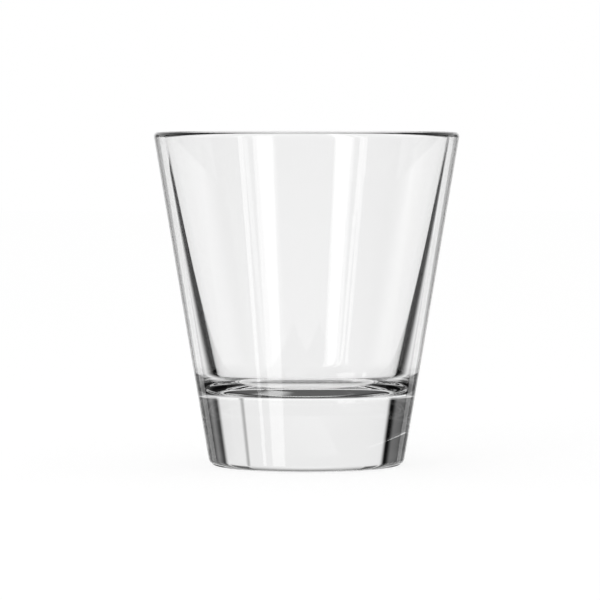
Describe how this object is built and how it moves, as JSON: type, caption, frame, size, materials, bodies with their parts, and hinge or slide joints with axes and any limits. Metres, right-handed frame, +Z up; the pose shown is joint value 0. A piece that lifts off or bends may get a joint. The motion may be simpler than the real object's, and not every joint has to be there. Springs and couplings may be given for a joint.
{
  "type": "rocks glass",
  "caption": "Flared, straight-sided rocks glass in clear pressed glass, with a thick solid base, a rounded lip and a shallow dish in its underside.",
  "frame": {"origin": "centre of the underside, on the plane that the glass stands on", "axes": "+Z up along the axis of the glass, from the table to the lip; the glass is turned about Z, so X and Y are alike, and the picture looks along +Y"},
  "size_m": [0.087, 0.087, 0.095],
  "materials": {
    "clear_glass": "clear colourless soda-lime glass, fire-polished"
  },
  "bodies": {
    "root": {"tumbler": "clear_glass"}
  },
  "joints": []
}
